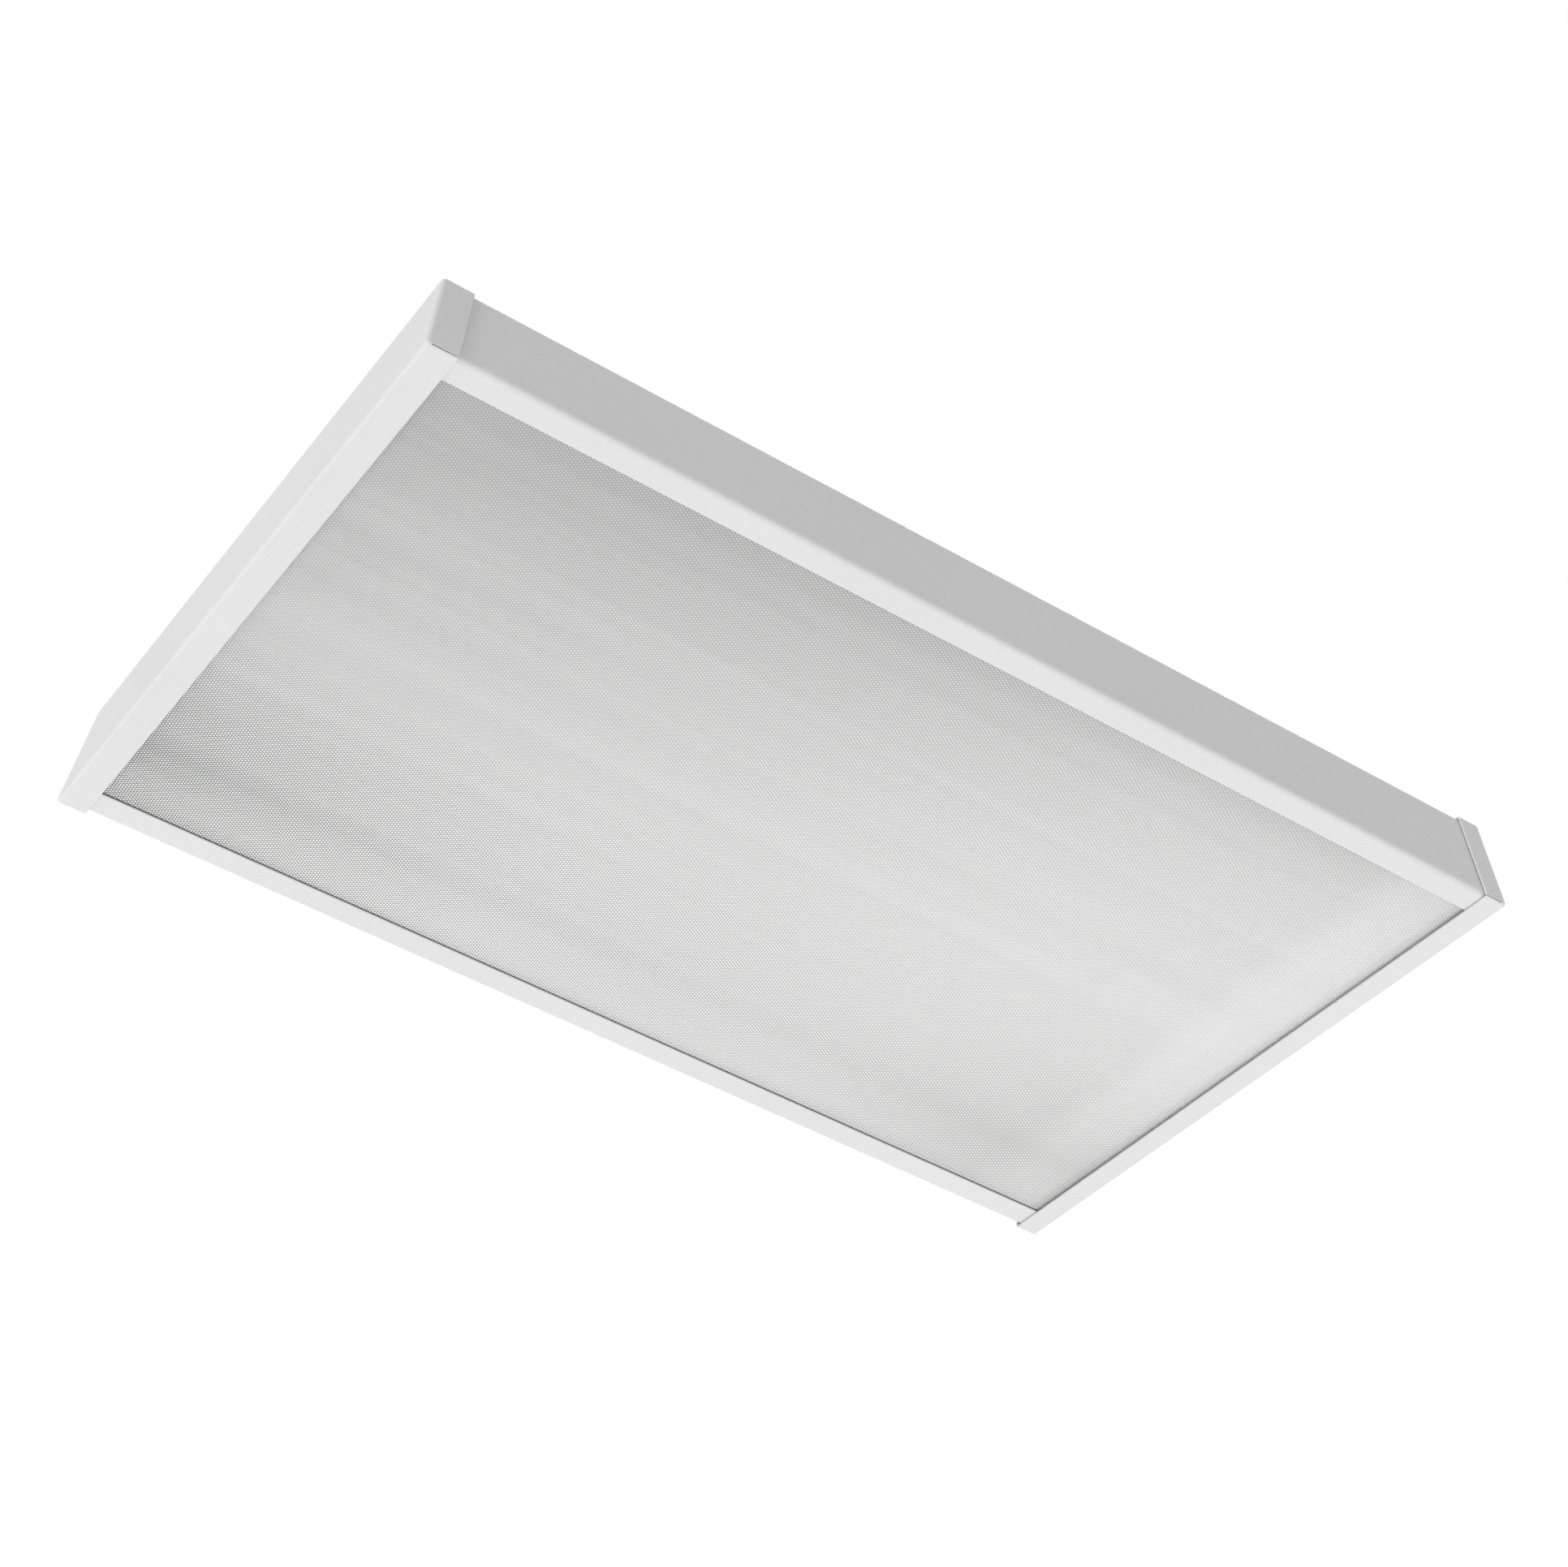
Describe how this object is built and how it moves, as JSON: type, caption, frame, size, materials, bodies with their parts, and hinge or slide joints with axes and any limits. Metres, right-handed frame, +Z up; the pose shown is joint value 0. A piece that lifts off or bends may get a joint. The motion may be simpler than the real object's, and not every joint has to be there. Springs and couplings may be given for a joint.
{
  "type": "led high bay light",
  "caption": "Linear LED high bay light: shallow white steel housing with leaning sides, wrap-round end caps, a sliding prismatic lens, wiring plate and swinging hanger bails.",
  "frame": {"origin": "centre of the light's lower rim, at the height of its lowest point", "axes": "+X along the light towards the removable end cap, +Y across it towards the rear side, +Z up towards the ceiling; the light shines towards -Z"},
  "size_m": [0.6096, 0.39, 0.0633],
  "materials": {
    "white_paint": "satin white powder coat",
    "prismatic_acrylic": "clear acrylic pressed with fine prisms",
    "zinc_steel": "bright zinc plate",
    "dark_rubber": "matt",
    "board_white": "white solder mask",
    "lamp_phosphor": "yellow phosphor under clear resin",
    "cream_plastic": "matt",
    "driver_metal": "satin",
    "black_plastic": "matt",
    "green_steel": "green dye on zinc",
    "black_pvc": "satin",
    "white_pvc": "satin",
    "green_pvc": "satin",
    "red_pvc": "satin",
    "blue_pvc": "satin"
  },
  "bodies": {
    "housing": {"housing": "white_paint", "left_end_cap": "white_paint", "left_cap_screws": "zinc_steel", "front_gasket": "dark_rubber", "rear_gasket": "dark_rubber", "lamp_tray": "white_paint", "tray_screws": "zinc_steel", "reflector_ribs": "white_paint", "wiring_cover": "white_paint", "cover_screws": "zinc_steel", "lamp_board_1": "board_white", "lamp_board_2": "board_white", "lamp_board_3": "board_white", "lamp_board_4": "board_white", "lamps_1": "lamp_phosphor", "lamps_2": "lamp_phosphor", "lamps_3": "lamp_phosphor", "lamps_4": "lamp_phosphor", "board_screws": "zinc_steel", "board_connectors": "cream_plastic", "left_driver_base": "driver_metal", "left_driver_case": "driver_metal", "right_driver_base": "driver_metal", "right_driver_case": "driver_metal", "driver_screws": "zinc_steel", "terminal_block": "black_plastic", "ground_screw": "green_steel", "grommets": "cream_plastic", "lead_clips": "cream_plastic", "line_leads": "black_pvc", "neutral_leads": "white_pvc", "ground_lead": "green_pvc", "positive_leads": "red_pvc", "negative_leads": "blue_pvc", "left_hanger_bracket": "zinc_steel", "right_hanger_bracket": "zinc_steel", "hanger_screws": "zinc_steel"},
    "lens": {"lens": "prismatic_acrylic"},
    "right_cap": {"right_end_cap": "white_paint", "right_cap_screws": "zinc_steel", "right_cap_nuts": "zinc_steel"},
    "access_plate": {"access_plate": "white_paint", "access_screws": "zinc_steel"},
    "left_bail": {"left_hanger_bail": "zinc_steel"},
    "right_bail": {"right_hanger_bail": "zinc_steel"}
  },
  "joints": [
    {"name": "lens_slide", "type": "slide", "parent": "housing", "child": "lens", "axis": [1, 0, 0], "range_m": [0, 0.5]},
    {"name": "cap_pull", "type": "slide", "parent": "housing", "child": "right_cap", "axis": [1, 0, 0], "range_m": [0, 0.55]},
    {"name": "plate_lift", "type": "slide", "parent": "housing", "child": "access_plate", "axis": [0, 0, 1], "range_m": [0, 0.05]},
    {"name": "left_bail_swing", "type": "hinge", "parent": "housing", "child": "left_bail", "pos_m": [-0.195, 0, 0.0583], "axis": [0, -1, 0], "range_deg": [0, 180]},
    {"name": "right_bail_swing", "type": "hinge", "parent": "housing", "child": "right_bail", "pos_m": [0.195, 0, 0.0583], "axis": [0, 1, 0], "range_deg": [0, 180]}
  ],
  "couplings": [
    {"joint": "cap_pull", "follows": "lens_slide", "ratio": 1.1}
  ]
}
